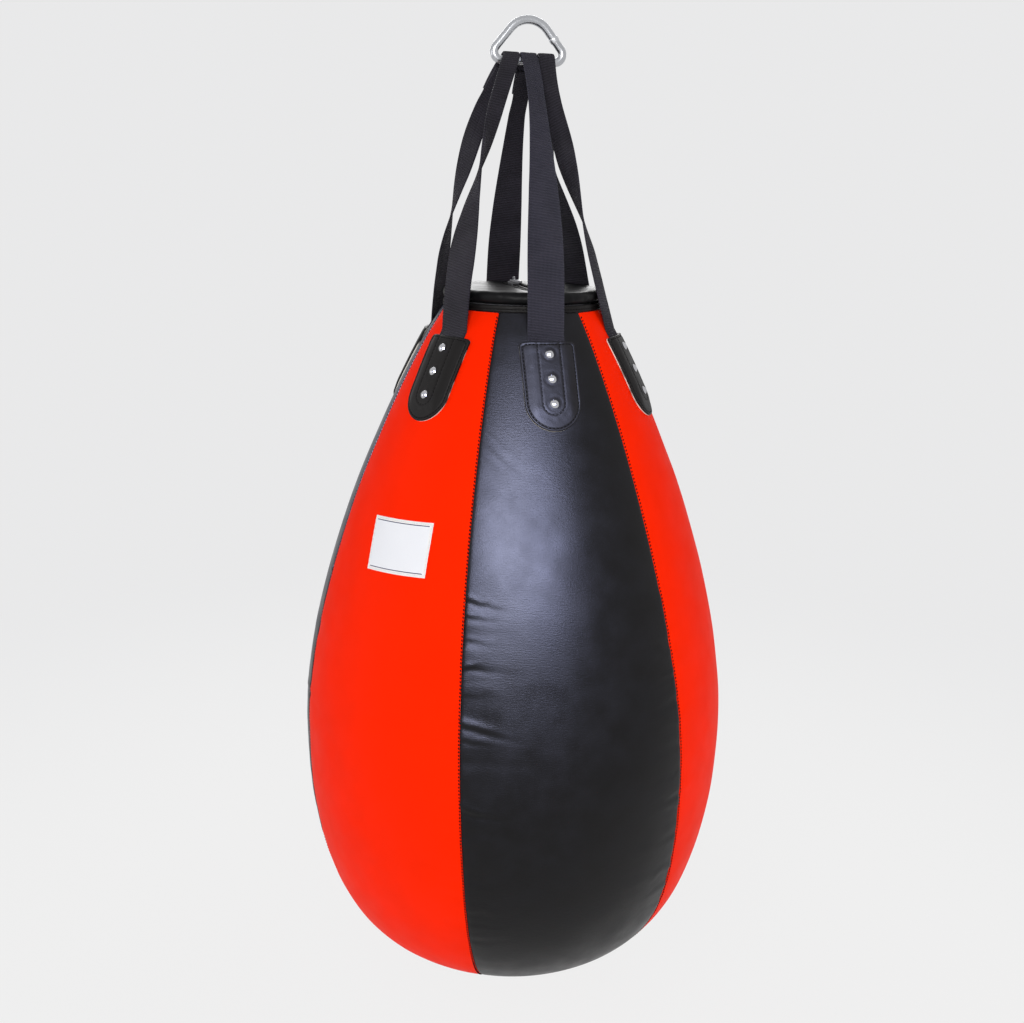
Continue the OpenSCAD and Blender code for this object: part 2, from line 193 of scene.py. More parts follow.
def joined(name, pieces):
    """several pieces of one kind as one object"""
    verts, faces, base = [], [], 0
    for p in pieces:
        verts += [v.co[:] for v in p.data.vertices]
        faces += [[base + k for k in f.vertices] for f in p.data.polygons]
        base += len(p.data.vertices)
        me = p.data
        bpy.data.objects.remove(p)
        bpy.data.meshes.remove(me)
    return mesh_piece(name, verts, faces)


print("stitch helper ready")

# %% [markdown]
# ## Finishes
# The gores are cloth coated with vinyl: smooth and satin, with a fine pressed grain that
# only shows where light grazes it. A Principled shader carries the colour, and noise in object
# space gives the grain, small changes of gloss and faint handling marks, so no surface is one flat
# value. Values that are even all over stay on the shader's own sockets, so that an export keeps them.

# %% Shader helpers
def add(tree, kind, props=(), **inputs):
    """one shader node; an input given as a socket is linked, anything else is set"""
    n = tree.nodes.new(kind)
    for key, value in props:
        setattr(n, key, value)
    for key, value in inputs.items():
        socket = n.inputs[int(key[1:])] if key[0] == "i" and key[1:].isdigit() else n.inputs[key]
        if isinstance(value, bpy.types.NodeSocket):
            tree.links.new(value, socket)
        else:
            socket.default_value = value
    return n


def calc(tree, operation, *values):
    """one maths node on sockets or numbers; gives its output"""
    inputs = {f"i{k}": v for k, v in enumerate(values)}
    return add(tree, "ShaderNodeMath", [("operation", operation)], **inputs).outputs[0]


def ranged(tree, value, from_low, from_high, low, high, kind="LINEAR"):
    """a value carried from one range to another; gives the output"""
    return add(tree, "ShaderNodeMapRange", [("interpolation_type", kind)],
               i0=value, i1=from_low, i2=from_high, i3=low, i4=high).outputs[0]


def lumps(tree, place, scale, detail, **more):
    """soft noise; gives its output"""
    return add(tree, "ShaderNodeTexNoise", Vector=place, Scale=scale, Detail=detail, **more).outputs["Fac"]


def bumped(tree, b, height, strength, depth):
    """a height that tilts the shading; depth in metres"""
    bump = add(tree, "ShaderNodeBump", Strength=strength, Distance=depth, Height=height)
    tree.links.new(bump.outputs["Normal"], b.inputs["Normal"])


def finish_named(name, colour, rough, metal=0.0, specular=0.5, tint=(1, 1, 1)):
    """a material with its even values set; gives it, its tree, its shader and object coordinates"""
    m = bpy.data.materials.new(name)
    m.use_nodes = True
    tree = m.node_tree
    b = tree.nodes["Principled BSDF"]
    b.inputs["Base Color"].default_value = (*colour, 1)
    b.inputs["Roughness"].default_value = rough
    b.inputs["Metallic"].default_value = metal
    b.inputs["Specular IOR Level"].default_value = specular
    b.inputs["Specular Tint"].default_value = (*tint, 1)
    place = add(tree, "ShaderNodeTexCoord").outputs["Object"]
    return m, tree, b, place


def mottled(tree, b, place, colour, spread, size):
    """colour that drifts a little over patches of a size in metres; gives the two ends of its ramp"""
    n = add(tree, "ShaderNodeTexNoise", [("noise_dimensions", "4D")], Vector=place, W=0.0, Scale=1 / size,
            Detail=4.0, Roughness=0.55)
    ramp = add(tree, "ShaderNodeValToRGB", Fac=n.outputs["Fac"])
    dark, pale = ramp.color_ramp.elements
    dark.position, pale.position = 0.3, 0.7
    dark.color = tuple(c * (1 - spread) for c in colour) + (1,)
    pale.color = tuple(min(1, c * (1 + spread)) for c in colour) + (1,)
    tree.links.new(ramp.outputs["Color"], b.inputs["Base Color"])
    return dark, pale


def gloss_drift(tree, b, place, low, high, size):
    """roughness that drifts between two values over patches of a size in metres"""
    rough = ranged(tree, lumps(tree, place, 1 / size, 5.0), 0.3, 0.7, low, high)
    tree.links.new(rough, b.inputs["Roughness"])


print("shader helpers ready")

# %% Coated cloth and leather
def vinyl(name, colour, low, high, grain=0.25, specular=0.5, spread=0.1, tint=(1, 1, 1), brush=0.0,
          worn=None):
    """coated cloth or leather, with roughness from low to high; brush adds streaks, worn a second colour"""
    m, tree, b, place = finish_named(name, colour, low, specular=specular, tint=tint)
    dark, pale = mottled(tree, b, place, colour, spread, 0.06)
    if worn:
        dark.position, pale.position, dark.color = 0.4, 0.5, (*worn, 1)
    gloss_drift(tree, b, place, low, high, 0.03)
    pebble = add(tree, "ShaderNodeTexVoronoi", [("feature", "SMOOTH_F1")], Vector=place, Scale=850.0,
                 Smoothness=0.6).outputs["Distance"]
    height = calc(tree, "MULTIPLY_ADD", lumps(tree, place, 420.0, 3.0), 0.5, pebble)
    if brush:
        long = add(tree, "ShaderNodeMapping", Vector=add(tree, "ShaderNodeUVMap").outputs["UV"],
                   Scale=(0.12, 0.75, 1.0)).outputs["Vector"]
        height = calc(tree, "MULTIPLY_ADD", lumps(tree, long, 1.0, 4.0, Roughness=0.6), brush, height)
    bumped(tree, b, height, grain, 0.0003)
    return m


black_vinyl = vinyl("black_vinyl", (0.0026, 0.0021, 0.0022), 0.31, 0.43, specular=0.165, brush=2.2)
red_vinyl = vinyl("red_vinyl", (0.97, 0.018, 0.0004), 0.52, 0.62, grain=0.2, specular=0.06, spread=0.04,
                  tint=(1.0, 0.3, 0.06))
lid_vinyl = vinyl("lid_vinyl", (0.004, 0.004, 0.0045), 0.36, 0.46, grain=0.3, specular=0.11)
tab_leather = vinyl("tab_leather", (0.0045, 0.0036, 0.0036), 0.45, 0.55, grain=0.4, specular=0.18)
raw_edge = vinyl("raw_edge", (0.6, 0.57, 0.52), 0.8, 0.9, grain=0.8, specular=0.04, spread=0.2,
                 worn=(0.012, 0.01, 0.01))
print("coated cloth and leather ready")

# %% [markdown]
# ## Webbing, thread, metal and plain cloth
# Webbing is woven flat, and what the eye reads is its cross ribs and the tighter cords at
# its edges. The strap meshes carry a UV map in millimetres, so a sine of that map is a weave with a
# true pitch that follows each bend. Threads get a fine fuzz, and the metals get fine scratches.

# %% Woven and metal finishes
def woven(name, colour, rib, cord, depth, rough=0.75, spread=0.25, specular=0.06, sheen_patches=0.0):
    """a weave of ribs and cords, pitch in mm; the last argument sets patches of gloss and paints matching
    patches of sheen into the colour
    """
    m, tree, b, place = finish_named(name, colour, rough, specular=specular)
    at = add(tree, "ShaderNodeSeparateXYZ", Vector=add(tree, "ShaderNodeUVMap").outputs["UV"]).outputs
    wave = lambda way, pitch: calc(tree, "SINE", calc(tree, "MULTIPLY", way, 2 * math.pi / pitch))
    slant = calc(tree, "MULTIPLY_ADD", at["X"], 0.12, at["Y"])
    weave = calc(tree, "MULTIPLY_ADD", wave(slant, rib), 0.8, wave(at["X"], cord))
    fuzzy = calc(tree, "MULTIPLY_ADD", lumps(tree, place, 900.0, 3.0), 1.2, weave)
    # painted sheen: lighter and darker patches about 30 mm across are put into the colour
    patchy = calc(tree, "MULTIPLY_ADD", lumps(tree, place, 32.0, 2.0), sheen_patches, fuzzy)
    tone = ranged(tree, patchy, -1.6 + 0.35 * sheen_patches, 2.6 + 0.65 * sheen_patches, 0.0, 1.0)
    ramp = add(tree, "ShaderNodeValToRGB", Fac=tone)
    dark, pale = ramp.color_ramp.elements
    dark.color = tuple(c * (1 - 2.2 * spread) for c in colour) + (1,)
    pale.color = tuple(min(1, c * (1 + 1.6 * spread)) for c in colour) + (1,)
    tree.links.new(ramp.outputs["Color"], b.inputs["Base Color"])
    if sheen_patches:
        gloss_drift(tree, b, place, rough - 0.12, rough + 0.16, 0.035)
    bumped(tree, b, fuzzy, 0.8, depth)
    b.inputs["Sheen Weight"].default_value = 0.04
    return m


def cloth(name, colour, size, rough=0.85, spread=0.2):
    """plain cloth or thread, mottled over patches of a size in metres"""
    m, tree, b, place = finish_named(name, colour, rough, specular=0.05)
    mottled(tree, b, place, colour, spread, size)
    bumped(tree, b, lumps(tree, place, 700.0, 4.0), 0.5, 0.0004)
    return m


def metal(name, colour, low, high, scratch=0.15):
    """plated metal, its roughness from low to high, with fine marks"""
    m, tree, b, place = finish_named(name, colour, low, metal=1.0)
    mottled(tree, b, place, colour, 0.05, 0.01)
    gloss_drift(tree, b, place, low, high, 0.006)
    long = add(tree, "ShaderNodeMapping", Vector=place, Scale=(1.0, 1.0, 9.0)).outputs["Vector"]
    bumped(tree, b, lumps(tree, long, 260.0, 6.0, Distortion=0.6), scratch, 0.0002)
    return m


# the webbing's colour carries painted sheen in patches
webbing = woven("webbing", (0.028, 0.025, 0.035), 3.2, 1.6, 0.0006, rough=0.7, spread=0.42, specular=0.12,
                sheen_patches=3.0)
patch_weave = woven("patch_weave", (0.89, 0.9, 0.97), 0.9, 0.9, 0.0001, spread=0.05)
patch_hem = woven("patch_hem", (0.9, 0.88, 0.87), 0.9, 0.9, 0.0001, spread=0.06)
patch_line = woven("patch_line", (0.03, 0.035, 0.12), 0.9, 0.9, 0.0001, spread=0.15)
tape_weave = woven("tape_weave", (0.016, 0.016, 0.018), 1.1, 1.1, 0.0002)
black_thread = cloth("black_thread", (0.006, 0.0055, 0.006), 0.002, rough=0.6)
white_thread = cloth("white_thread", (0.75, 0.75, 0.78), 0.002, rough=0.7)
lining_cloth = cloth("lining_cloth", (0.62, 0.6, 0.52), 0.01)
rag_fill = cloth("rag_fill", (0.22, 0.22, 0.24), 0.03, spread=0.6)
backing_leather = cloth("backing_leather", (0.1, 0.06, 0.035), 0.006)
rivet_chrome = metal("rivet_chrome", (0.5, 0.5, 0.52), 0.1, 0.18, scratch=0.05)
ring_steel = metal("ring_steel", (0.46, 0.47, 0.49), 0.2, 0.34)
zinc_steel = metal("zinc_steel", (0.55, 0.56, 0.58), 0.28, 0.42)
zip_metal = metal("zip_metal", (0.3, 0.3, 0.32), 0.26, 0.4)
tooth_plastic = vinyl("tooth_plastic", (0.012, 0.012, 0.013), 0.35, 0.5, grain=0.1, specular=0.12)
shown_solids = {
    "rivets": rivet_chrome, "rivet_washers": zinc_steel, "backing_patches": backing_leather,
    "hanging_ring": ring_steel, "lining": lining_cloth, "fill": rag_fill,
    "zip_stops": zinc_steel, "zip_slider": zip_metal, "zip_pull": zip_metal}
for node, finish in shown_solids.items():
    nodes[node].data.materials.clear()
    nodes[node].data.materials.append(finish)
print("woven cloth, thread and metal ready")

# %% [markdown]
# ## The gores
# Each gore is a sheet between two seams. Packing pushes its middle out, and the seams hold
# its edges in, so a seam is a narrow valley with short puckers across it. A cloth simulation
# could find this, but the pack is hard and even, so the valley and puckers are laid straight
# onto the grid. The columns crowd towards the seams, where the shape changes fastest.
# The whole skin also turns a few degrees from bottom to top, as the hung bag does.

# %% The shape of the skin
SIDES = ["front", "front_right", "back_right", "back", "back_left", "front_left"]
STEP, HALF = 60, 30   # degrees from one gore's middle to the next, and to its seams
SEAM_DEPTH = 2.7      # the lowest point of the skin, in mm under the plain outline


def turned(z):
    """degrees that the skin is wound round the axis at a height"""
    return 6.1 - 6.93 * z / RIM


CREASES = {  # gore: side of the seam, height, length, depth, half width, fall for each mm out
    0: [(-1, 566, 34, 0.7, 3.6, 0.15), (-1, 548, 26, 0.6, 3.2, 0.05), (-1, 522, 24, 0.45, 3.0, 0.1),
        (-1, 492, 30, 0.6, 3.4, 0.0), (-1, 427, 44, 1.1, 4.0, 0.22), (-1, 409, 30, 0.55, 3.4, 0.1),
        (-1, 323, 40, 0.9, 4.2, 0.18), (-1, 268, 26, 0.5, 3.6, 0.1), (1, 460, 24, 0.4, 3.4, 0.1),
        (-1, 748, 34, 0.4, 4.4, 0.8), (-1, 730, 28, 0.35, 3.8, 0.7)],
    1: [(-1, 480, 20, 0.4, 3.6, 0.1), (1, 350, 26, 0.5, 4.0, 0.1)],
    2: [(-1, 510, 34, 1.0, 3.8, 0.1), (-1, 395, 40, 1.3, 4.2, 0.2),
        (1, 470, 36, 1.2, 3.8, 0.15), (1, 300, 30, 0.9, 4.0, 0.1)],
    3: [(-1, 420, 26, 0.5, 4.0, 0.1), (1, 500, 22, 0.4, 3.6, 0.1)],
    4: [(-1, 440, 38, 1.2, 4.0, 0.15), (1, 540, 30, 0.9, 3.6, 0.1),
        (1, 380, 42, 1.3, 4.2, 0.2), (1, 250, 28, 0.8, 4.0, 0.1)],
    5: [(1, 430, 22, 0.4, 3.8, 0.1), (-1, 380, 26, 0.5, 4.0, 0.1)]}


def lift(i, u, s):
    """millimetres that the skin of gore i stands off the plain outline; u is -1 and 1 at its seams"""
    r, z, _, _ = outline(s)
    d = (1 - np.abs(u)) * math.radians(HALF) * r
    seam = np.where(u < 0, i, (i + 1) % 6)
    # small puckers across the seam, most of all round the belly and on the black cloth
    soft = smooth((640 - z) / 110) * smooth((z - 40) / 120)
    size = 1.5 if i % 2 == 0 else 0.8
    bent = s + 5 * noise(d / 16, s / 30, 11)
    fold = 0.65 * noise(bent / 11, d / 60 + 7.1 * seam, 2 + i)
    fold += 0.5 * noise(bent / 24, d / 70 + 3.3 * seam, 4 + i)
    pucker = size * soft * np.exp(-d / 24) * np.minimum(fold, 0.25)
    # the larger creases, each a furrow with a ridge beside it
    for side, z0, length, depth, half, fall in CREASES[i]:
        x = (s - length_at(z0) + fall * d + 1.5 * noise(d / 9, z0, 13)) / half
        reach = np.exp(-(d / length) ** 2) * (np.sign(u) == side)
        pucker = pucker + depth * reach * (0.75 * np.exp(-(x - 0.9) ** 2) - np.exp(-(x + 0.6) ** 2))
    # the valley of the seam, the nip of each stitch, and the broad lumps of the pack
    tick = 0.2 * np.exp(-d / 5) * np.sin(2 * math.pi * s / 4.2)
    valley = -1.5 * np.exp(-d / 1.3) - 0.3 * np.exp(-d / 12)
    calm = smooth((720 - z) / 60) * smooth((z - 10) / 60)
    round_at = STEP * i + HALF * u
    broad = 0.9 * noise(s / 130, round_at / 24, 3) + 0.3 * noise(s / 45, round_at / 9, 5)
    return np.maximum(valley + tick + pucker + calm * broad, -SEAM_DEPTH)


print("creases:", sum(len(rows) for rows in CREASES.values()))

# %% Six gores
q = np.linspace(-1, 1, 64)
cols = np.sign(q) * (1 - (1 - np.abs(q)) ** 1.7)
rows = np.linspace(0, LENGTH, 470)
U, S = np.meshgrid(cols, rows)
r, z, _, _ = outline(S)
gores = []
for i, side in enumerate(SIDES):
    colour, finish = ("red", red_vinyl) if i % 2 else ("black", black_vinyl)
    points = on_bag(STEP * i + HALF * U + turned(z), S, lift(i, U, S))
    uv = np.stack([np.radians(HALF * U) * r, S], -1)
    g = mesh_piece(f"gore_{side}_{colour}", points, grid_faces(len(rows), len(cols)), uv)
    dress(g, [finish], "bag", colour + "_vinyl", f"panel_{side}_{colour}")
    gores.append(g)
print("gores:", len(gores), "with", sum(len(g.data.polygons) for g in gores), "faces")

# %% [markdown]
# ## The seam thread
# Where the pack pulls a seam open, its dark thread shows as short ticks on the red side. They are real
# little loops of thread, sunk a bit into the valley, so they catch light as thread does.

# %% Thread in the six seams
FROM_SEAM, SLANT = 1.0, 0.45
runs = []
s = np.linspace(6, LENGTH - 4, 900)
r, z, n_r, n_z = outline(s)
for k in range(6):
    red_left = k % 2 == 0
    i, side = ((k - 1) % 6, 1) if red_left else (k, -1)
    u = side * (1 - FROM_SEAM / (math.radians(HALF) * r))
    angle = STEP * i + HALF * u + turned(z)
    a = np.radians(angle)
    path = on_bag(angle, s, lift(i, u, s) + 0.1)
    normal = np.stack([n_r * np.sin(a), -n_r * np.cos(a), n_z], -1)
    runs.append(stitches("run", path, normal, 4.4, fill=0.6, radius=0.75, side=side * SLANT))
thread = joined("seam_thread", runs)
dress(thread, [black_thread], "bag", "black_vinyl")
print("seam thread faces:", len(thread.data.polygons))

# %% [markdown]
# ## The lid, its binding and the bottom patch
# The mouth is closed by a round lid with a zip across it. The lid is cut a little large, so its
# edge puffs out and gathers where it is sewn to the binding. A disc with a hole won't take
# a zip slot neatly, so the grid runs from the slot's edge outwards: each ring is a blend of
# the slot's outline and the round edge, and the cloth rolls down into the slot.

# %% Lid with its zip slot
SLOT_W, SLOT_L = 8.0, 64.0        # half the width and half the length of the zip slot
LID_R, PUFF = 92.5, 8.0           # the flat part's radius, and the radius of the puffed edge
HEM_LINE = 5.6                    # the row of stitches round the slot
COLS = 288
phi = np.arange(COLS) * 2 * math.pi / COLS


def slot_edge():
    """points round the zip slot, matched to even angles on the lid's round edge"""
    straight = SLOT_L - SLOT_W
    cy = straight * np.sin(phi)
    to = np.stack([LID_R * np.cos(phi), LID_R * np.sin(phi) - cy], -1)
    to /= np.linalg.norm(to, axis=1)[:, None]
    d = SLOT_W / np.maximum(np.abs(to[:, 0]), 1e-6)
    y = cy + d * to[:, 1]
    end = np.sign(np.sin(phi)) * straight
    past = np.abs(y) > straight
    b = to[:, 1] * (cy - end)
    d = np.where(past, -b + np.sqrt(np.maximum(b * b - (cy - end) ** 2 + SLOT_W ** 2, 0)), d)
    return np.stack([d * to[:, 0], cy + d * to[:, 1]], -1)


slot, edge = slot_edge(), np.stack([np.cos(phi), np.sin(phi)], -1)
to_rim, degrees = LID_R * edge - slot, np.degrees(phi)
far = np.linalg.norm(to_rim, axis=1)
rings = []
for a in np.arange(5) * math.pi / 10:   # the cloth rolls up out of the slot
    z = LID_TOP - 3.2 + 2.4 * math.sin(a)
    rings.append(np.c_[slot - 0.4 * (1 - math.cos(a)) * edge, np.full(COLS, z)])
for f in np.linspace(0, 1, 46) ** 1.3:   # the flat part, with a hem beside the zip
    d, flat = f * far, slot + f * to_rim
    hem = 0.5 * np.exp(-((d - 2.6) / 1.8) ** 2) - 0.8 * np.exp(-(d / 0.9) ** 2)
    hem -= 0.7 * np.exp(-((d - HEM_LINE) / 0.8) ** 2)
    wave = 0.55 * noise(degrees / 7, d / 40, 21) * f ** 2
    wave += 0.35 * noise(flat[:, 0] / 16, flat[:, 1] / 16, 22)
    rings.append(np.c_[flat, LID_TOP - 0.5 + hem + wave * smooth(d / 12)])
for a in np.radians(np.arange(6, 181, 7.25)):   # the puffed edge, gathered where it is sewn
    gather = 0.5 * noise(degrees / 3.1, a * 1.2, 23) * math.sin(a)
    gather += 0.4 * noise(degrees / 7, 1, 21) * math.cos(a / 2)
    out = LID_R + (PUFF + gather) * math.sin(a)
    rings.append(np.c_[out[:, None] * edge, LID_Z + PUFF + (PUFF - 0.4 + gather) * math.cos(a)])
rings = np.array(rings)
rings[..., 2] -= EYE
uv = np.stack(np.meshgrid(phi * 90, np.arange(len(rings))), -1)
lid = mesh_piece("lid", rings / 1000, grid_faces(len(rings), COLS, wrap=True, flip=True), uv)
dress(lid, [lid_vinyl], "bag", "black_vinyl", "top_lid")
print("lid faces:", len(lid.data.polygons))

# %% Binding round the mouth and the patch under the bottom
def band(name, profile, cols, ripple, seed, flat=False):
    """a profile of r, z turned about the axis, with small gathers that die out towards the axis;
    flat takes the map from x and y, for a disc"""
    a = np.linspace(0, 2 * math.pi, cols, endpoint=False)
    prof = np.asarray(profile)
    n = np.gradient(prof, axis=0)
    n = np.stack([n[:, 1], -n[:, 0]], -1) / np.linalg.norm(n, axis=1)[:, None]
    w = ripple * noise(np.degrees(a)[None, :] / 2.3, np.arange(len(prof))[:, None] / 3, seed)
    w *= (prof[:, :1] / prof[:, 0].max()) ** 4
    r = prof[:, :1] + w * n[:, :1]
    z = prof[:, 1:] + w * n[:, 1:] - EYE
    pts = np.stack([r * np.sin(a), -r * np.cos(a), z + 0 * a], -1) / 1000
    row = np.arange(len(prof))[:, None] + 0 * a
    uv = pts[..., :2] * 1000 if flat else np.stack([a * prof[:, :1], row], -1)
    return mesh_piece(name, pts, grid_faces(len(prof), cols, wrap=True), uv)


def circle_stitches(name, r, z, out, up, pitch, radius):
    """a round row of thread that faces out or up"""
    a = np.linspace(0, 2 * math.pi, 721)
    path = np.stack([r * np.sin(a), -r * np.cos(a), np.full_like(a, z - EYE)], -1) / 1000
    normal = np.stack([out * np.sin(a), -out * np.cos(a), np.full_like(a, up)], -1)
    return stitches(name, path, normal, pitch, radius=radius)


BINDING_R, SOLE_R, SOLE_ROW = 98.2, 102.5, 93.0   # the disc's row of stitches is at SOLE_ROW
g = np.linspace(-1, 1, 15)
crown = 2.0 * np.sqrt(np.clip(1 - g ** 6, 0, 1)) - 0.5 * np.exp(-((g + 0.1) / 0.14) ** 2)
rim = band("binding", np.c_[BINDING_R + crown, RIM + 4.4 + 4.2 * g], 420, 0.22, 31)
dress(rim, [tab_leather], "bag", "black_vinyl", "rim_binding")
g = SOLE_R * np.linspace(0, 1, 26)
sole = np.c_[g, -3.4 + 0.8 * np.exp(-((g - SOLE_ROW) / 2) ** 2)]
sole = np.r_[sole, [[104, -3.2], [104.8, -2.5], [105, -1.5], [104.6, 0.6]]]
sole[0, 0] = 0.2   # a pinhole at the axis keeps every face a quad
under = band("bottom_disc", sole, 360, 0.25, 33, flat=True)
dress(under, [black_vinyl], "bag", "black_vinyl", "bottom_patch")
edge_thread = joined("edge_thread", [circle_stitches("a", BINDING_R + 1.8, RIM + 4, 1, 0, 4.4, 0.42),
                                     circle_stitches("b", SOLE_ROW, -2.7, 0, -1, 5.0, 0.5)])
dress(edge_thread, [black_thread], "bag", "black_vinyl")
print("binding, bottom patch and their thread done")

# %% [markdown]
# ## Leather tabs
# A tab is two layers of leather glued and sewn over the end of each strap: black grain outside, pale
# raw leather below, which shows at the cut edge. It is square at the top, round at the bottom, and
# swells between its two rows of stitching. Rings that shrink from the outline to the tab's middle line
# keep every row at one distance from the edge, so the stitch grooves are simple to place.

# %% The shape of a tab
TAB_W, TAB_L = 33.5, 108.0          # half the width, and the length
ROW_R, EDGE_ROW = 13.0, 3.4         # the row round the rivets, and how far in the row along the edge is
RIVETS = (15.5, 45.5, 75.5)         # down from the top
LAST = RIVETS[-1]
TAB_S = float(length_at(TAB_TOP))


def tab_outline():
    """the cut edge: x across and y down from the top, with the top corners just rounded"""
    def arc(cx, cy, r, start, end, count):
        a = np.radians(np.linspace(start, end, count))
        return np.c_[cx + r * np.cos(a), cy + r * np.sin(a)]

    c = 5.0
    pts = np.r_[arc(c - TAB_W, c, c, 180, 270, 9), arc(TAB_W - c, c, c, 270, 360, 9),
                arc(0, TAB_L - TAB_W, TAB_W, 0, 180, 61)]
    pts = np.r_[pts, pts[:1]]
    far = np.r_[0, np.cumsum(np.linalg.norm(np.diff(pts, axis=0), axis=1))]
    at = np.linspace(0, far[-1], 261)[:-1]
    return np.stack([np.interp(at, far, pts[:, 0]), np.interp(at, far, pts[:, 1])], -1)


def tab_height(x, y, d):
    """millimetres that the tab's face stands off the bag; d is the distance from the cut edge"""
    over = smooth((31 - np.abs(x)) / 13) * smooth((102 - y) / 24)
    inner = np.where(y < LAST, np.abs(np.abs(x) - ROW_R), np.abs(np.hypot(x, y - LAST) - ROW_R))
    # a body over the strap, two stitch grooves, and an edge that is rounded off
    h = 3.7 + 2.3 * over - 0.7 * np.exp(-((d - EDGE_ROW) / 0.9) ** 2) - 0.7 * np.exp(-(inner / 0.9) ** 2)
    h = h + 0.2 * np.exp(-((d - 9) / 4) ** 2) - 1.2 * (1 - np.clip(d / 1.6, 0, 1)) ** 2
    for k in RIVETS:
        away = np.hypot(x, y - k)
        h = h + 0.4 * np.exp(-(away / 6.2) ** 4) - 0.25 * np.exp(-((away - 8) / 2) ** 2)
    return h + 0.12 * noise(x / 6, y / 6, 41)


def on_tab(i, x, y, off):
    """points of tab i, off mm outside the bag's outline"""
    s = TAB_S - y
    return on_bag(STEP * i + np.degrees(np.arcsin(x / outline(s)[0])), s, off)


cut = tab_outline()
print("tab edge points:", len(cut))

# %% Six tabs with stitch grooves
heart = np.stack([np.zeros(len(cut)), np.clip(cut[:, 1], TAB_W, TAB_L - TAB_W)], -1)
inward = lambda d: cut + (heart - cut) * d / TAB_W
EDGE = [(0.35, 0.05), (0.1, 0.4), (0.0, 1.2), (0.25, 1.55), (0.3, 1.7), (0.05, 1.95)]   # inset and height
FACE = np.r_[0.12, 0.4, 0.8, 1.3, np.linspace(1.9, 6.5, 14), np.linspace(7.5, TAB_W - 0.02, 26)]
flat = [inward(d) for d, _ in EDGE] + [inward(d) for d in FACE]
high = [np.full(len(cut), h) for _, h in EDGE] + [tab_height(*inward(d).T, d) for d in FACE]
faces = grid_faces(len(flat), len(cut), wrap=True)
raw = [1 if k < 3 * len(cut) else 0 for k in range(len(faces))]   # the three lowest bands are raw leather
a = np.radians(np.linspace(0, 180, 40))
u_line = np.r_[np.c_[np.full(30, ROW_R), np.linspace(4, LAST, 30)],
               np.c_[ROW_R * np.cos(a), LAST + ROW_R * np.sin(a)],
               np.c_[np.full(30, -ROW_R), np.linspace(LAST, 4, 30)]]
from_edge = np.minimum(TAB_W - np.abs(u_line[:, 0]), u_line[:, 1])
edge_line = np.r_[inward(EDGE_ROW), inward(EDGE_ROW)[:1]]
lines = [(edge_line, tab_height(*edge_line.T, EDGE_ROW)), (u_line, tab_height(*u_line.T, from_edge))]
tabs, runs = [], []
for i, side in enumerate(SIDES):
    pts = np.array([on_tab(i, *p.T, h) for p, h in zip(flat, high)])
    tab = mesh_piece("tab_leather_" + side, pts, faces, np.array(flat))
    tabs.append(dress(tab, [tab_leather, raw_edge], "bag", "tab_leather", "tab_" + side))
    tab.data.polygons.foreach_set("material_index", raw)
    for line, h in lines:
        base = on_tab(i, *line.T, h + 0.15)
        out = on_tab(i, *line.T, h + 1.15) - base
        runs.append(stitches("run", base, out * 1000, 4.6, radius=0.42))
tab_thread = joined("tab_thread", runs)
dress(tab_thread, [black_thread], "bag", "tab_leather")
print("tabs:", len(tabs), "thread faces:", len(tab_thread.data.polygons))

# %% [markdown]
# ## Webbing straps
# Each strap comes out from under its tab as flat webbing, folds to half its width on the way up and
# goes over the ring's bar. The three front straps lap over the three at the back and are
# sewn down. A sweep follows the same curve as the solids. Its section has rounded selvedges,
# and near the top a groove where the folded halves meet. Cross ribs are in the finish.

# %% Paths of the straps, in millimetres
STRAP_W, STRAP_T, FOLD_W, FOLD_PITCH = 45.0, 2.2, 20.0, 21.5
BAR_R, ROOM, UNDER = 5.0, 0.4, 1.5     # the bar, the room over it, and the strap's middle off the outline
LAP = 0.8                              # where a lap ends, as a share of the free length
CROWN_R = BAR_R + ROOM + STRAP_T
leave_s = float(length_at(TAB_TOP + 8))
ease = lambda x: float(smooth(np.array(x)))
# for each side in turn: its way out, its lane and side on the bar, its turn at both ends in degrees,
# how far round the bar it lies, and how it leaves the tab and meets the bar
out_dir = [np.array([math.sin(a), -math.cos(a), 0]) for a in np.radians(STEP * np.arange(6))]
bar_x, bar_side = [0, 1, 1, 0, -1, -1], [-1, -1, 1, 1, 1, -1]
turn0, turn1 = [0, 60, 120, 180, 240, 300], [0, 180, 0, 180, 360, 180]
crown_a = [math.radians(v) for v in (40, 70, 70, 40, 40, 40)]
lean_in, splay = [0.06, 0.3, 0.3, 0.06, 0.06, 0.06], [0, 0, 0, 0, 0.36, 0.36]
reach = [0.39, 0.48, 0.48, 0.39, 0.39, 0.39]
behind = {0: 3, 1: 2, 5: 4}            # each front strap, and the back strap that it laps onto


def free_at(i, s):
    """the middle of strap i between tab and bar, at a share s of the way"""
    r, z, n_r, n_z = (float(v) for v in outline(leave_s))
    p0 = out_dir[i] * (r + UNDER * n_r) + np.array([0, 0, z + UNDER * n_z])
    up = BAR_Z - p0[2]
    p1 = p0 + reach[i] * up * (-lean_in[i] * out_dir[i] + np.array([0, 0, 1]))
    sin_a, cos_a = math.sin(crown_a[i]), math.cos(crown_a[i])
    p3 = np.array([bar_x[i] * FOLD_PITCH, bar_side[i] * CROWN_R * sin_a, BAR_Z + CROWN_R * cos_a])
    down = np.array([bar_x[i] * splay[i], bar_side[i] * cos_a, -sin_a])
    return cubic((p0, p1, p3 + 0.24 * up * down / np.linalg.norm(down), p3), s)


def free_way(i, s):
    """the way that the strap runs there"""
    v = free_at(i, min(1, s + 0.01)) - free_at(i, max(0, s - 0.01))
    return v / np.linalg.norm(v)


def free_across(i, s):
    """the way across the strap there"""
    twist = (turn1[i] - turn0[i]) * ease((s - 0.2) / 0.7) + 5 * math.sin(math.pi * s) ** 2
    a = math.radians(turn0[i] + twist)
    return np.array([math.cos(a), math.sin(a), 0])


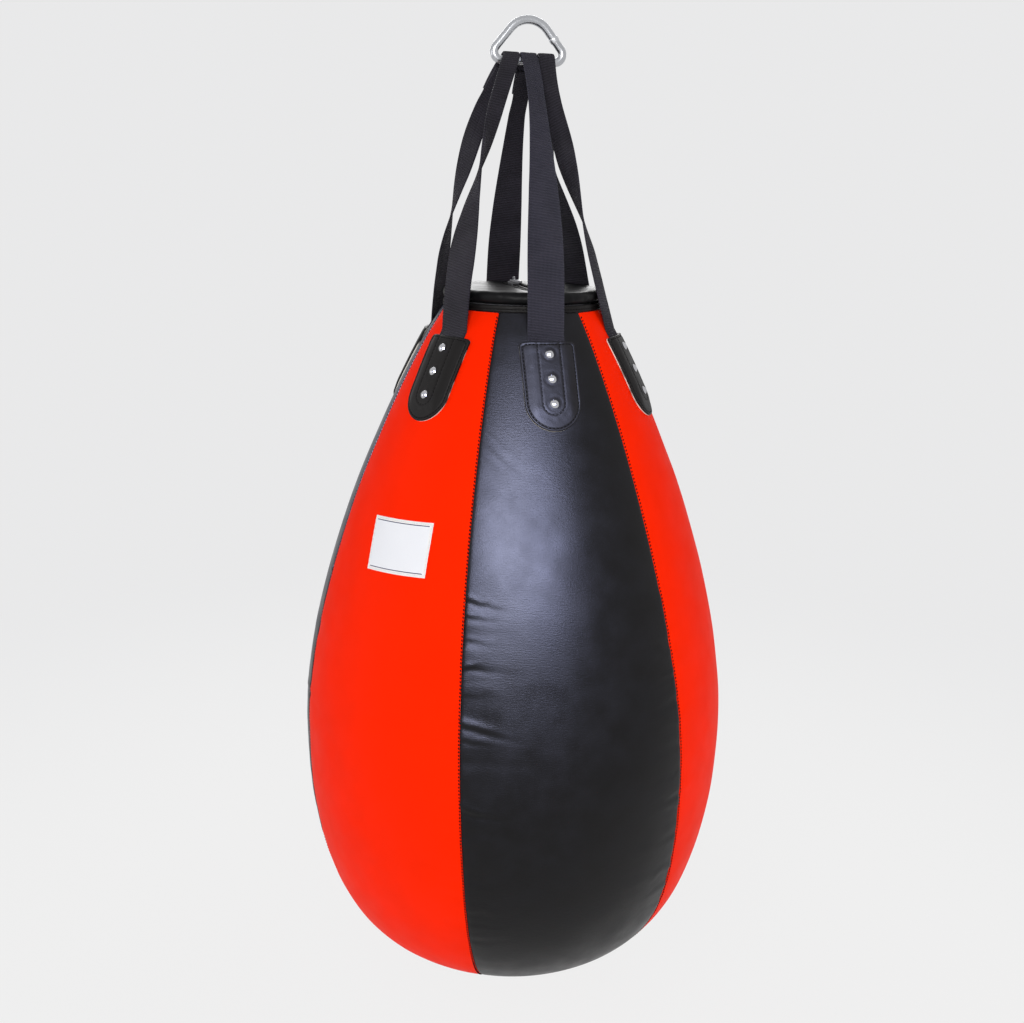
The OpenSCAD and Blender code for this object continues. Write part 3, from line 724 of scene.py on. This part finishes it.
def square_on(w, way):
    """w made square to the way, and the way that the strap faces"""
    x = w - (w @ way) * way
    x /= np.linalg.norm(x)
    return x, np.cross(x, way)


def stations(i):
    """middle, way, across, width, thickness, sag and fold depth along a strap"""
    rows = []
    for s in np.linspace(TAB_S - 60, leave_s, 16)[:-1]:
        r, z, n_r, n_z = (float(v) for v in outline(s))
        c = out_dir[i] * (r + UNDER * n_r) + np.array([0, 0, z + UNDER * n_z])
        way = -n_z * out_dir[i] + np.array([0, 0, n_r])
        sag = STRAP_W ** 2 / 8 * n_r / r
        rows.append((c, way, np.cross([0, 0, 1], out_dir[i]), STRAP_W, STRAP_T, sag, 0))
    front = i in behind
    for s in np.linspace(0, 1, 90) if front else np.linspace(0, 0.92, 84):
        way, w = free_way(i, s), free_across(i, s)
        c = free_at(i, s)
        if not front:
            n = square_on(w, way)[1]
            c = c - (n if n[2] > 0 else -n) * (2 * STRAP_T + ROOM) * ease((s - LAP + 0.1) / 0.09)
        wide = STRAP_W + (FOLD_W - STRAP_W) * ease((s - 0.2) / 0.6)
        thick = STRAP_T * (1 + ease((s - 0.3) / 0.5))
        rows.append((c, way, w, wide, thick, sag * (1 - ease(s / 0.3)), ease((s - 0.35) / 0.4)))
    if front:
        w = np.array([math.cos(math.radians(turn1[i])), 0, 0])
        for a in np.linspace(-crown_a[i], crown_a[i], 16)[1:-1]:
            c = np.array([bar_x[i] * FOLD_PITCH, CROWN_R * math.sin(a), BAR_Z + CROWN_R * math.cos(a)])
            rows.append((c, np.array([0, math.cos(a), -math.sin(a)]), w, FOLD_W, 2 * STRAP_T, 0, 1))
        j = behind[i]
        for s in np.linspace(1, LAP, 16):
            rows.append((free_at(j, s), -free_way(j, s), -free_across(j, s), FOLD_W, 2 * STRAP_T, 0, 1))
    return rows


print("strap stations:", [len(stations(i)) for i in range(6)])

# %% Six straps of webbing
u_of = np.array([-1, -0.985, -0.94, -0.88, -0.78, -0.64, -0.5, -0.36, -0.22, -0.12, -0.05])
u_of = np.r_[u_of, 0, -u_of[::-1]]
section = np.clip(1 - np.abs(u_of) ** 14, 0, 1) ** 0.5


def strap_piece(i, side):
    """a section swept along one strap's stations"""
    pts, uv, far, last = [], [], 0.0, None
    for c, way, w, wide, thick, sag, fold in stations(i):
        x, n = square_on(w, way)
        far += 0 if last is None else float(np.linalg.norm(c - last))
        last = c
        cord = 0.12 * np.exp(-((np.abs(u_of) - 0.93) / 0.04) ** 2)
        groove = fold * 0.9 * np.exp(-((u_of - 0.08) / 0.035) ** 2)
        wander = 0.18 * noise(far / 18 + 9 * i, u_of * 2, 51)
        bow = (sag + 0.9 * np.clip(2 * (n @ out_dir[i]), -1, 1)) * u_of ** 2
        top = thick / 2 * section + cord - bow + wander - groove
        low = -thick / 2 * section - cord - bow + wander
        ring = [c + x * wide / 2 * u + n * h for u, h in zip(u_of, top)]
        ring += [c + x * wide / 2 * u + n * h for u, h in zip(u_of[-2:0:-1], low[-2:0:-1])]
        pts.append(ring)
        uv.append([(STRAP_W / 2 * u, far) for u in np.r_[u_of, u_of[-2:0:-1]]])
    pts = np.array(pts) - np.array([0, 0, EYE])
    n = pts.shape[1]
    faces = grid_faces(len(pts), n, wrap=True).tolist()
    faces += [list(range(n))[::-1], [(len(pts) - 1) * n + k for k in range(n)]]
    piece = mesh_piece("webbing_" + side, pts / 1000, faces, np.array(uv))
    return dress(piece, [webbing], "bag", "webbing", "strap_" + side)


def on_lap(j, w, s):
    """a point on the face of the lap over strap j, and the way it faces"""
    x, n = square_on(free_across(j, s), free_way(j, s))
    n = n if n[2] > 0 else -n
    return (free_at(j, s) + x * w + n * (STRAP_T + 0.3) - np.array([0, 0, EYE])) / 1000, n


straps = [strap_piece(i, side) for i, side in enumerate(SIDES)]
half = FOLD_W / 2 - 3
a, b, c, d = (-half, 0.97), (half, 0.97), (half, 0.825), (-half, 0.825)
box_and_cross = [a, b, c, d, a, c, b, d]
runs = []
for j in behind.values():
    for (w0, s0), (w1, s1) in zip(box_and_cross[:-1], box_and_cross[1:]):
        line = [on_lap(j, w0 + (w1 - w0) * f, s0 + (s1 - s0) * f) for f in np.linspace(0, 1, 12)]
        runs.append(stitches("run", [p for p, _ in line], [n for _, n in line], 3.6, radius=0.4))
lap_thread = joined("lap_thread", runs)
dress(lap_thread, [black_thread], "bag", "webbing")
print("straps:", len(straps), "lap thread faces:", len(lap_thread.data.polygons))

# %% [markdown]
# ## The blank patch
# A woven patch is sewn to the red gore at the left: plain white cloth with a thin dark line
# near its edges. It is a laid sheet, so its grid follows the gore under it, stands a cloth's
# thickness off, and dips at its row of stitches.

# %% Woven patch and its thread
PATCH_W, PATCH_H, PATCH_ROW = 92.0, 65.0, 2.2                     # the row of stitches is that far in
PATCH_A, PATCH_Z, TILT = -53.0, TAB_TOP - 236, math.radians(5)    # bearing, height and tilt
PATCH_GORE = SIDES.index("front_left")
LINE_X, LINE_Y = 41.5, 28.0                                       # half the dark line, and where it is
patch_s = float(length_at(PATCH_Z))


def on_patch(x, y, off):
    """points of the patch, off mm outside the gore under it"""
    xx, yy = x * math.cos(TILT) - y * math.sin(TILT), x * math.sin(TILT) + y * math.cos(TILT)
    s = patch_s + yy
    r, z, _, _ = outline(s)
    angle = PATCH_A + np.degrees(xx / r)
    u = np.clip((angle + STEP - turned(z)) / HALF, -1, 1)
    return on_bag(angle, s, lift(PATCH_GORE, u, s) + off)


w, h = PATCH_W / 2, PATCH_H / 2
gx, gy = np.meshgrid(np.linspace(-w, w, 99), np.linspace(-h, h, 67))
inset = np.minimum(w - np.abs(gx), h - np.abs(gy))
high = 1.15 - 0.5 * np.exp(-((inset - PATCH_ROW) / 1.0) ** 2) - 0.35 * np.exp(-inset / 0.8)
high += 0.22 * noise(gx / 14, gy / 14, 61) + 0.12 * np.exp(-inset / 5) * np.sin((gx + gy) * 2 * math.pi / 7)
faces = grid_faces(*gx.shape)
patch = mesh_piece("woven_patch", on_patch(gx, gy, high), faces, np.stack([gx, gy], -1))
dress(patch, [patch_weave, patch_line, patch_hem], "bag", "patch_cloth", "blank_patch")
middle = lambda a: a.reshape(-1)[np.array(faces)].mean(1)
cx, cy = middle(gx), middle(gy)
lined = (np.abs(np.abs(cy) - LINE_Y) < 0.5) & (np.abs(cx) < LINE_X)
hem = (np.abs(cy) > LINE_Y + 0.5) | (np.abs(cx) > LINE_X + 0.5)
patch.data.polygons.foreach_set("material_index", np.where(lined, 1, np.where(hem, 2, 0)).tolist())
w, h = w - PATCH_ROW, h - PATCH_ROW
corners = [(-w, -h), (w, -h), (w, h), (-w, h), (-w, -h)]
box = np.concatenate([np.linspace(a, b, 60)[:-1] for a, b in zip(corners[:-1], corners[1:])])
box = np.r_[box, box[:1]]
path = on_patch(*box.T, 0.95)
out = on_patch(*box.T, 1.95) - path
patch_thread = stitches("patch_thread", path, out * 1000, 3.2, radius=0.3)
dress(patch_thread, [white_thread], "bag", "patch_cloth")
print("patch faces:", len(faces), "lined:", int(lined.sum()))

# %% [markdown]
# ## The zip in the lid
# Under the slot lies a woven tape with a moulded chain of teeth. The slider, its pull and the
# stops keep their solids. The tape and the teeth are made again at full count: each tooth is a small
# head on a neck, set left and right in turn, and the tape sags a little beside the chain.

# %% Tape and teeth
TAPE_W, TAPE_L, TAPE_Z = 30.0, 144.0, LID_TOP - 3.4
TEETH, PITCH, FIRST = 72, 1.6, -57.0
TOOTH = [(-0.3, 0.75), (0.9, 1.0), (1.3, 0.8), (1.3, 0.55), (2.9, 0.55),
         (2.9, -0.55), (1.3, -0.55), (1.3, -0.8), (0.9, -1.0), (-0.3, -0.75)]
LAYERS = [(0, 0.94), (0.3, 1), (1.7, 1), (2.1, 0.85)]   # height and size, from the tape up
gx, gy = np.meshgrid(np.linspace(-TAPE_W / 2, TAPE_W / 2, 41), np.linspace(-TAPE_L / 2, TAPE_L / 2, 97))
dip = -0.35 * smooth((np.abs(gx) - 4) / 4) + 0.12 * noise(gx / 5, gy / 9, 71) - 0.15
pts = np.stack([gx, gy, TAPE_Z - EYE + dip], -1)
tape = mesh_piece("tape", pts / 1000, grid_faces(*gx.shape), pts[..., :2])
dress(tape, [tape_weave], "bag", "zip_cloth", "zip_tape")
verts, faces = [], []
for k in range(TEETH):
    y, way, base = FIRST + PITCH * k, 1 if k % 2 else -1, len(verts)
    for z, grow in LAYERS:
        verts += [(way * (0.9 + grow * (px - 1.2)), y + 0.72 * grow * py, TAPE_Z + z - EYE)
                  for px, py in TOOTH]
    faces += grid_faces(len(LAYERS), len(TOOTH), wrap=True, flip=way > 0, start=base).tolist()
    cap = list(range(len(verts) - len(TOOTH), len(verts)))
    faces.append(cap[::-1] if way > 0 else cap)
teeth = mesh_piece("teeth", np.array(verts) / 1000, faces)
teeth.data.polygons.foreach_set("use_smooth", [False] * len(teeth.data.polygons))
dress(teeth, [tooth_plastic], "bag", "zip_plastic", "zip_teeth")
slot_line = slot + HEM_LINE * to_rim / far[:, None]
path = np.c_[slot_line, np.full(COLS, LID_TOP - 0.9 - EYE)] / 1000
path = np.r_[path, path[:1]]
zip_thread = stitches("zip_thread", path, np.tile([0.0, 0.0, 1.0], (len(path), 1)), 4.0, radius=0.4)
dress(zip_thread, [black_thread], "bag", "black_vinyl")
print("teeth:", TEETH, "tape", len(tape.data.polygons), "faces")

# %% [markdown]
# ## The ring's weld
# The ring is bent from one length of wire and welded shut on one of its slanted sides. A small bead
# marks the place: a short sleeve round the wire, swollen in the middle and rippled by noise.

# %% Weld bead on the ring
WIRE_R, BEAD_L = 4.9, 3.4   # where the bead meets the wire, and half its length
centre, along = np.array([31.2, 0.0, BAR_Z + 25.1 - EYE]), np.array([-0.643, 0.0, 0.766])
flat_way, cross_way = np.array([0.766, 0.0, 0.643]), np.array([0.0, 1.0, 0.0])
a, row = np.meshgrid(np.linspace(0, 2 * math.pi, 48, endpoint=False), np.linspace(-1, 1, 15))
radius = WIRE_R + 0.8 * np.sqrt(1 - row ** 2) + 0.16 * noise(a * 3.8, row * 2.5, 81)
spoke = np.cos(a)[..., None] * flat_way + np.sin(a)[..., None] * cross_way
pts = centre + BEAD_L * row[..., None] * along + radius[..., None] * spoke
bead = mesh_piece("weld_bead", pts / 1000, grid_faces(*a.shape, wrap=True))
dress(bead, [zinc_steel], "ring", "ring_steel")
print("weld bead faces:", len(bead.data.polygons))

# %% [markdown]
# ## Floor, light and camera
# A soft lamp near the camera lights the bag. Weaker ones at the right, the left and the back, and
# an even sky, fill the shadows. Three bluish soft boxes, one before each black gore, are
# flagged off all but a few pieces and show in their gloss alone: they give the broad, dull shine
# down the black gores. The floor is pale and fades into the background with distance, so no
# horizon cuts through the picture, and it still takes the bag's shadow. For light that reaches the
# bag the sky is weaker than the background that the camera sees. The camera's place and lens
# come from a fit to the outline and the seams of the photographed bag.

# %% Floor that fades into the background
PALE, FLOOR, FLOOR_Z = (0.815, 0.815, 0.82), (0.885, 0.885, 0.885), -1.52


def seen_ray(tree):
    """1 for what is seen, straight or in gloss or glass, and 0 for light on its way to the bag"""
    path = add(tree, "ShaderNodeLightPath").outputs
    seen = calc(tree, "MAXIMUM", path["Is Camera Ray"], path["Is Glossy Ray"])
    return calc(tree, "MAXIMUM", seen, path["Is Transmission Ray"])


ring_r = np.array([0.001, 0.4, 0.8, 1.2, 1.8, 2.6, 4, 6, 9, 14])
r, a = np.meshgrid(ring_r, np.linspace(0, 2 * math.pi, 64, endpoint=False), indexing="ij")
pts = np.stack([r * np.cos(a), r * np.sin(a), np.full(r.shape, FLOOR_Z)], -1)
floor = mesh_piece("floor", pts, grid_faces(*r.shape, wrap=True, flip=True))
paint = bpy.data.materials.new("floor_paint")
paint.use_nodes = True
tree = paint.node_tree
tree.nodes.clear()
spot = add(tree, "ShaderNodeSeparateXYZ", Vector=add(tree, "ShaderNodeTexCoord").outputs["Object"]).outputs
square = lambda side: calc(tree, "POWER", side, 2.0)
far_off = calc(tree, "SQRT", calc(tree, "ADD", square(spot["X"]), square(spot["Y"])))
fade = ranged(tree, far_off, 0.4, 2.5, 0.86, 1.0, "SMOOTHSTEP")
share = calc(tree, "MULTIPLY", fade, seen_ray(tree))
away = ranged(tree, far_off, 0.8, 2.6, 0.0, 1.0, "SMOOTHSTEP")
shade = add(tree, "ShaderNodeMix", [("data_type", "RGBA")], i0=away, i6=(*FLOOR, 1), i7=(*PALE, 1))
lit = add(tree, "ShaderNodeBsdfDiffuse", Color=(*FLOOR, 1))
glow = add(tree, "ShaderNodeEmission", Color=shade.outputs[2], Strength=1.0)
both = add(tree, "ShaderNodeMixShader", Fac=share, i1=lit.outputs[0], i2=glow.outputs[0])
add(tree, "ShaderNodeOutputMaterial", Surface=both.outputs[0])
floor.data.materials.append(paint)
sky = bpy.data.worlds.new("studio")
bpy.context.scene.world = sky
sky.use_nodes = True
tree = sky.node_tree
sky_light = tree.nodes["Background"]
sky_light.inputs["Color"].default_value = (*PALE, 1)
tree.links.new(ranged(tree, seen_ray(tree), 0.0, 1.0, 0.4, 1.0), sky_light.inputs["Strength"])
print("floor at", FLOOR_Z, "m and an even sky")

# %% Lamps
AIM = Vector((0, 0, -0.75))


def lamp(name, bearing, rise, away, wide, tall, watts):
    """a soft box; bearing is degrees from the front towards -X"""
    light = bpy.data.lights.new(name, "AREA")
    light.shape, light.size, light.size_y, light.energy = "RECTANGLE", wide, tall, watts
    ob = bpy.data.objects.new(name, light)
    b, e = math.radians(bearing), math.radians(rise)
    ob.location = AIM + away * Vector((-math.sin(b) * math.cos(e), -math.cos(b) * math.cos(e), math.sin(e)))
    ob.rotation_euler = (AIM - ob.location).to_track_quat("-Z", "Y").to_euler()
    bpy.context.scene.collection.objects.link(ob)
    return ob


def gloss_box(name, bearing, wide, watts, *pieces):
    """a bluish soft box that shows in the gloss of a few pieces and lights nothing else"""
    box = lamp(name, bearing, 25, 2.4, wide, 1.0, watts)
    box.visible_diffuse = False
    box.data.color = (0.59, 0.64, 1.0)
    falls_on = bpy.data.collections.new(name + "_falls_on")
    for piece in pieces:
        falls_on.objects.link(bpy.data.objects[piece])
    box.light_linking.receiver_collection = falls_on


lamp("key", 22, 24, 2.4, 1.3, 1.3, 36)
gloss_box("front_shine", 15, 2.3, 335, "gore_front_black", "tab_leather_front", "webbing_front", "rivets")
gloss_box("left_shine", 108, 1.6, 180, "gore_back_left_black")
gloss_box("right_shine", 252, 1.6, 180, "gore_back_right_black")
fill = lamp("right_fill", -62, 12, 2.6, 1.4, 1.4, 17)
fill.visible_glossy = False
lamp("left_fill", 96, 10, 2.6, 1.4, 1.4, 8)
lamp("back_fill", 190, 30, 3.0, 1.6, 1.6, 33)

# %% Camera
BEARING, ROLL = math.radians(14.5), math.radians(1.374)
LEVEL, DROP = 0.96244, 0.27149      # the level part and the drop of its way ahead
AWAY, HEIGHT = 1.4274, -0.1982      # its distance from the axis and its height, in metres
cam = bpy.data.cameras.new("camera")
cam.lens, cam.sensor_width, cam.sensor_fit = 39.12, 36.0, "HORIZONTAL"
cam.shift_x = -5.39 / 1024
cam.clip_end = 60
eye = bpy.data.objects.new("camera", cam)
ahead = Vector((LEVEL * math.sin(BEARING), LEVEL * math.cos(BEARING), -DROP))
right = Vector((math.cos(BEARING), -math.sin(BEARING), 0))
up = right.cross(ahead)
right, up = math.cos(ROLL) * right + math.sin(ROLL) * up, math.cos(ROLL) * up - math.sin(ROLL) * right
eye.matrix_world = Matrix((right, up, -ahead)).transposed().to_4x4()
eye.location = (-AWAY * math.sin(BEARING), -AWAY * math.cos(BEARING), HEIGHT)
bpy.context.scene.collection.objects.link(eye)
bpy.context.scene.camera = eye
bpy.context.scene.view_settings.view_transform = "Standard"
print("camera at", [round(v, 4) for v in eye.location])
